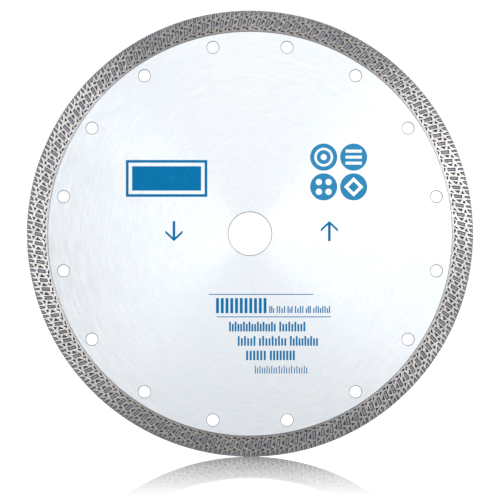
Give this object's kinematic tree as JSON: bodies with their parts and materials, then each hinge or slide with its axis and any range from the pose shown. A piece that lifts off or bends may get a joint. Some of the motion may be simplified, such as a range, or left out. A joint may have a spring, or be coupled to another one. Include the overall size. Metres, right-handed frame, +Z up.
{
  "type": "diamond blade",
  "caption": "Continuous-rim diamond cutting disc: a thin holed steel core with a plain bore, ringed by a sintered rim with a moulded mesh of leaning pockets on both faces.",
  "frame": {"origin": "centre of the bore, half way through the core's thickness", "axes": "the blade stands upright: +Y is the spin axis, pointing away from the printed front face; +X is to the right and +Z up as the front face is looked at"},
  "size_m": [0.23, 0.0016, 0.23],
  "materials": {
    "core_steel": "ground and satin brushed",
    "foot_sinter": "sintered bond without diamond, ground flush",
    "diamond_sinter": "sintered diamond bond, granular, with ground ribs and darker pocket floors",
    "blue_ink": "thin screen-printed ink"
  },
  "bodies": {
    "root": {"steel_core": "core_steel", "rim_foot": "foot_sinter", "diamond_rim": "diamond_sinter"}
  },
  "joints": []
}
